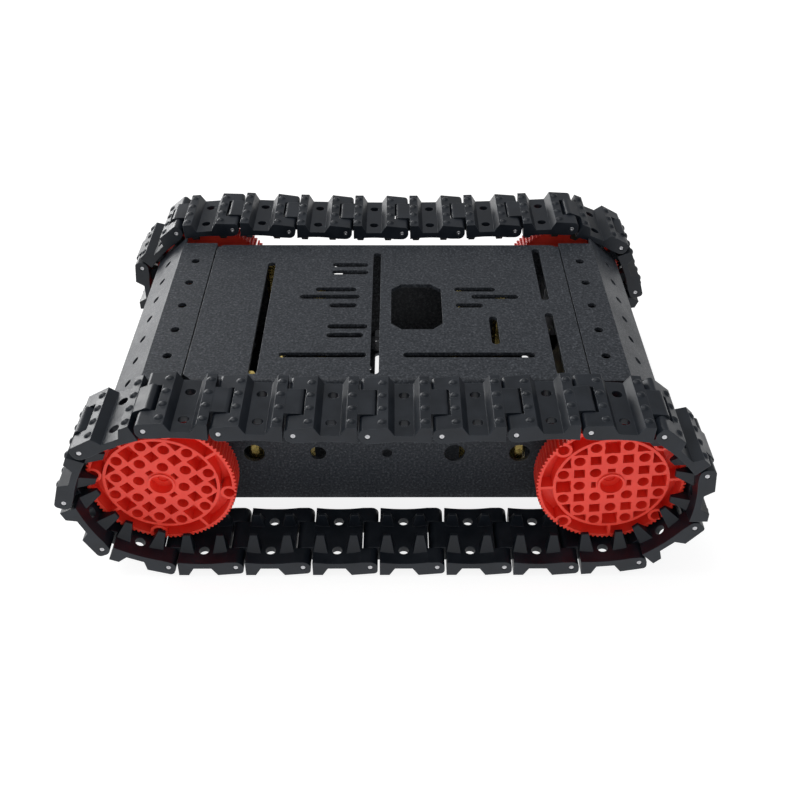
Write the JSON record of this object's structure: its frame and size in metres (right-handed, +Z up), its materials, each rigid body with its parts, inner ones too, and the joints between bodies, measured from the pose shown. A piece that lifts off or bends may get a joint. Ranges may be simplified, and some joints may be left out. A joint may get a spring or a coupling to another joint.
{
  "type": "tracked tank chassis",
  "caption": "Small tracked robot chassis: slotted folded-metal body between two hinged-link tracks on red drilled wheels, two of them driven by geared motors.",
  "frame": {"origin": "on the ground under the middle of the chassis, where the tracks stand", "axes": "+X forwards, +Y to the left, +Z up"},
  "size_m": [0.232, 0.168, 0.073],
  "materials": {
    "powder_coat": "fine sandy black powder coat",
    "track_plastic": "matt moulded nylon",
    "red_plastic": "satin moulded plastic",
    "bright_steel": "ground",
    "zinc_steel": "zinc plated",
    "black_steel": "black oxide",
    "motor_steel": "plated can",
    "yellow_zinc": "yellow zinc plated",
    "brass": "turned",
    "aluminium": "anodised",
    "black_plastic": "moulded"
  },
  "bodies": {
    "chassis": {"body_shell": "powder_coat", "bottom_plate": "powder_coat", "front_end_panel": "powder_coat", "rear_end_panel": "powder_coat", "panel_screws": "black_steel", "panel_nuts": "zinc_steel", "plate_screws": "black_steel", "plate_nuts": "zinc_steel", "standoffs": "brass", "standoff_screws": "black_steel", "front_right_gearbox": "yellow_zinc", "front_right_motor": "motor_steel", "front_right_motor_cap": "black_plastic", "front_right_terminals": "brass", "rear_left_gearbox": "yellow_zinc", "rear_left_motor": "motor_steel", "rear_left_motor_cap": "black_plastic", "rear_left_terminals": "brass", "gearbox_screws": "zinc_steel", "front_left_bearing_block": "aluminium", "front_left_bearings": "bright_steel", "rear_right_bearing_block": "aluminium", "rear_right_bearings": "bright_steel", "bearing_block_screws": "zinc_steel", "right_upper_links": "track_plastic", "right_front_links": "track_plastic", "right_lower_links": "track_plastic", "right_rear_links": "track_plastic", "right_track_pins": "bright_steel", "left_upper_links": "track_plastic", "left_front_links": "track_plastic", "left_lower_links": "track_plastic", "left_rear_links": "track_plastic", "left_track_pins": "bright_steel"},
    "front_right_wheel_set": {"front_right_wheel": "red_plastic", "front_right_hub": "brass", "front_right_shaft": "bright_steel", "front_right_set_screw": "black_steel"},
    "rear_right_wheel_set": {"rear_right_wheel": "red_plastic", "rear_right_hub": "brass", "rear_right_axle": "bright_steel", "rear_right_collar": "aluminium", "rear_right_set_screws": "black_steel"},
    "front_left_wheel_set": {"front_left_wheel": "red_plastic", "front_left_hub": "brass", "front_left_axle": "bright_steel", "front_left_collar": "aluminium", "front_left_set_screws": "black_steel"},
    "rear_left_wheel_set": {"rear_left_wheel": "red_plastic", "rear_left_hub": "brass", "rear_left_shaft": "bright_steel", "rear_left_set_screw": "black_steel"}
  },
  "joints": [
    {"name": "front_right_wheel_spin", "type": "hinge", "parent": "chassis", "child": "front_right_wheel_set", "pos_m": [0.07989, -0.0695, 0.03674], "axis": [0, 1, 0], "continuous": true},
    {"name": "rear_right_wheel_spin", "type": "hinge", "parent": "chassis", "child": "rear_right_wheel_set", "pos_m": [-0.07989, -0.0695, 0.03674], "axis": [0, 1, 0], "continuous": true},
    {"name": "rear_left_wheel_spin", "type": "hinge", "parent": "chassis", "child": "rear_left_wheel_set", "pos_m": [-0.07989, 0.0695, 0.03674], "axis": [0, 1, 0], "continuous": true},
    {"name": "front_left_wheel_spin", "type": "hinge", "parent": "chassis", "child": "front_left_wheel_set", "pos_m": [0.07989, 0.0695, 0.03674], "axis": [0, 1, 0], "continuous": true}
  ],
  "couplings": [
    {"joint": "rear_right_wheel_spin", "follows": "front_right_wheel_spin", "ratio": 1},
    {"joint": "front_left_wheel_spin", "follows": "rear_left_wheel_spin", "ratio": 1}
  ]
}
